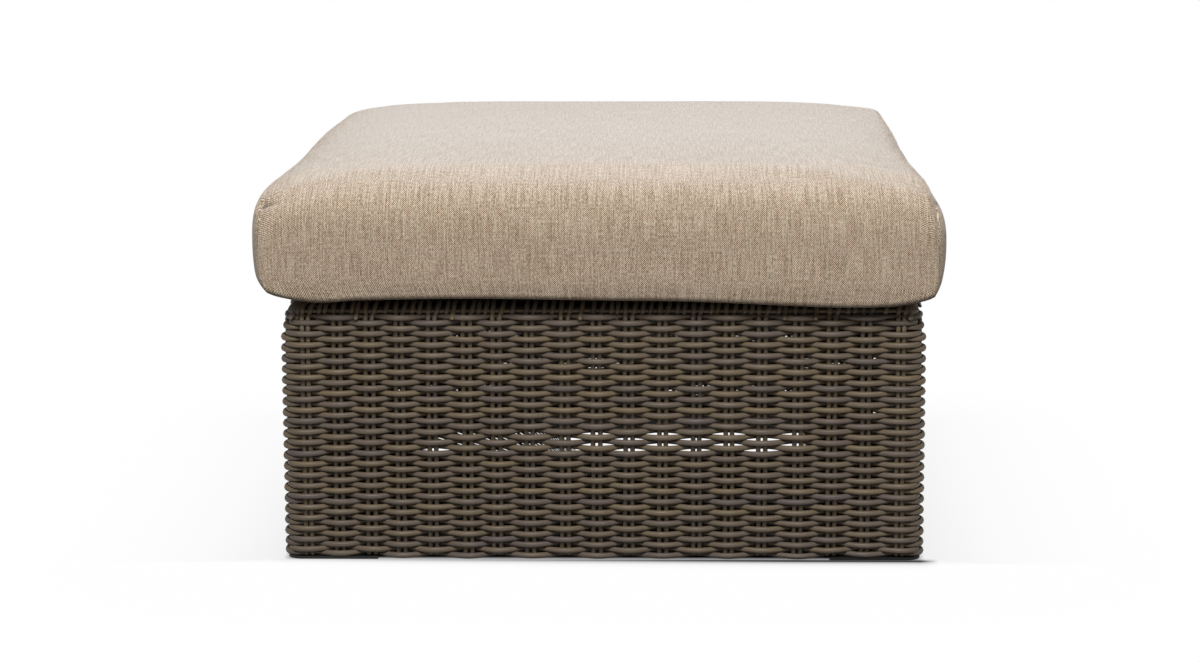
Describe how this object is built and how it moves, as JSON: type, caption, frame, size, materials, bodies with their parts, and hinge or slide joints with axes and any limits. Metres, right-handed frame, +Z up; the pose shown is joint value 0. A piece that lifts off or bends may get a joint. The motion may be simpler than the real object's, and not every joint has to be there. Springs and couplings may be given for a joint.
{
  "type": "outdoor ottoman footstool",
  "caption": "Square outdoor ottoman: a woven resin box on an aluminium frame with a loose, crowned, zipped fabric cushion on top.",
  "frame": {"origin": "on the floor, under the centre of the ottoman", "axes": "+X to the right seen from the front, +Y to the back, +Z up; the front faces -Y"},
  "size_m": [0.7404, 0.7374, 0.4223],
  "materials": {
    "frame": "satin powder coat",
    "resin_weave": "matte, fine lengthwise grooves",
    "pad": "matte",
    "screw": "satin",
    "cover_fabric": "heathered basket weave",
    "fibre": "matte",
    "foam": "matte",
    "zip_tape": "matte",
    "zip_teeth": "satin",
    "zip_metal": "satin"
  },
  "bodies": {
    "base": {"corner_post_front_left": "frame", "corner_post_front_right": "frame", "corner_post_back_right": "frame", "corner_post_back_left": "frame", "top_rail_front": "frame", "top_rail_right": "frame", "top_rail_back": "frame", "top_rail_left": "frame", "bottom_rail_front": "frame", "bottom_rail_right": "frame", "bottom_rail_back": "frame", "bottom_rail_left": "frame", "deck_cross_rail_left": "frame", "deck_cross_rail_right": "frame", "woven_side_front": "resin_weave", "woven_side_right": "resin_weave", "woven_side_back": "resin_weave", "woven_side_left": "resin_weave", "wrapped_rim_front": "resin_weave", "wrapped_rim_right": "resin_weave", "wrapped_rim_back": "resin_weave", "wrapped_rim_left": "resin_weave", "woven_seat_deck": "resin_weave", "floor_pad_front_left": "pad", "floor_pad_front_right": "pad", "floor_pad_back_right": "pad", "floor_pad_back_left": "pad", "pad_screw_front_left_1": "screw", "pad_screw_front_left_2": "screw", "pad_screw_front_right_1": "screw", "pad_screw_front_right_2": "screw", "pad_screw_back_right_1": "screw", "pad_screw_back_right_2": "screw", "pad_screw_back_left_1": "screw", "pad_screw_back_left_2": "screw"},
    "cushion": {"cushion_cover_band": "cover_fabric", "cushion_end_panel_left": "cover_fabric", "cushion_end_panel_right": "cover_fabric", "cushion_fibre_wrap": "fibre", "cushion_foam_core": "foam", "zip_tape": "zip_tape", "zip_teeth": "zip_teeth"},
    "zip_runner": {"zip_slider": "zip_metal"},
    "zip_tab": {"zip_pull_tab": "zip_metal"}
  },
  "joints": [
    {"name": "cushion_lift", "type": "slide", "parent": "base", "child": "cushion", "axis": [0, 0, 1], "range_m": [0, 0.25]},
    {"name": "zip_slide", "type": "slide", "parent": "cushion", "child": "zip_runner", "axis": [-1, 0, 0], "range_m": [0, 0.531]},
    {"name": "zip_tab_swing", "type": "hinge", "parent": "zip_runner", "child": "zip_tab", "pos_m": [0.2655, 0.3698, 0.3393], "axis": [0, 0, 1], "range_deg": [0, 180]}
  ]
}
